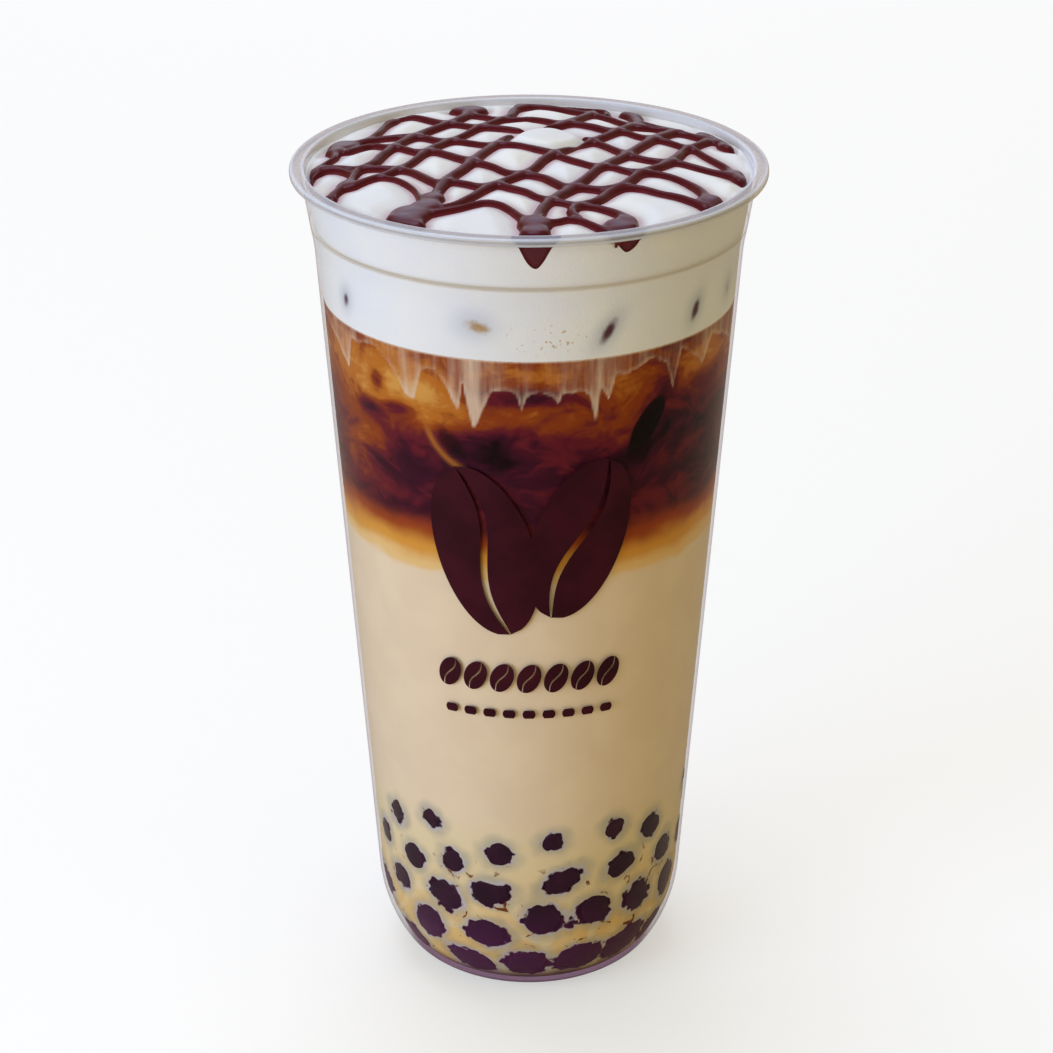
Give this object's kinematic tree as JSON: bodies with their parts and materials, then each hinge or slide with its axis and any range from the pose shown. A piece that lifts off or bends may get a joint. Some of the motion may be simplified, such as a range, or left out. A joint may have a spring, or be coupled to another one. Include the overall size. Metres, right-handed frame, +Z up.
{
  "type": "layered iced latte in a clear cup",
  "caption": "Tall clear plastic cup of layered iced latte: tapioca pearls in milk, coffee, and cream foam to the rim with a lattice of chocolate sauce.",
  "frame": {"origin": "middle of the cup's foot, on the surface that it stands on", "axes": "+Z up along the cup's axis, -Y towards the front, +X to the viewer's right"},
  "size_m": [0.09, 0.09, 0.1699],
  "materials": {
    "cup_plastic": "clear, glossy",
    "latte_milk": "opaque liquid",
    "coffee_liquid": "dark liquid with milk swirls",
    "foam_cream": "soft, matt",
    "pearl_gel": "smooth, glossy",
    "chocolate_syrup": "glossy syrup"
  },
  "bodies": {
    "root": {"cup": "cup_plastic", "latte": "latte_milk", "coffee": "coffee_liquid", "cream_foam": "foam_cream", "tapioca_pearls": "pearl_gel", "chocolate_sauce": "chocolate_syrup"}
  },
  "joints": []
}
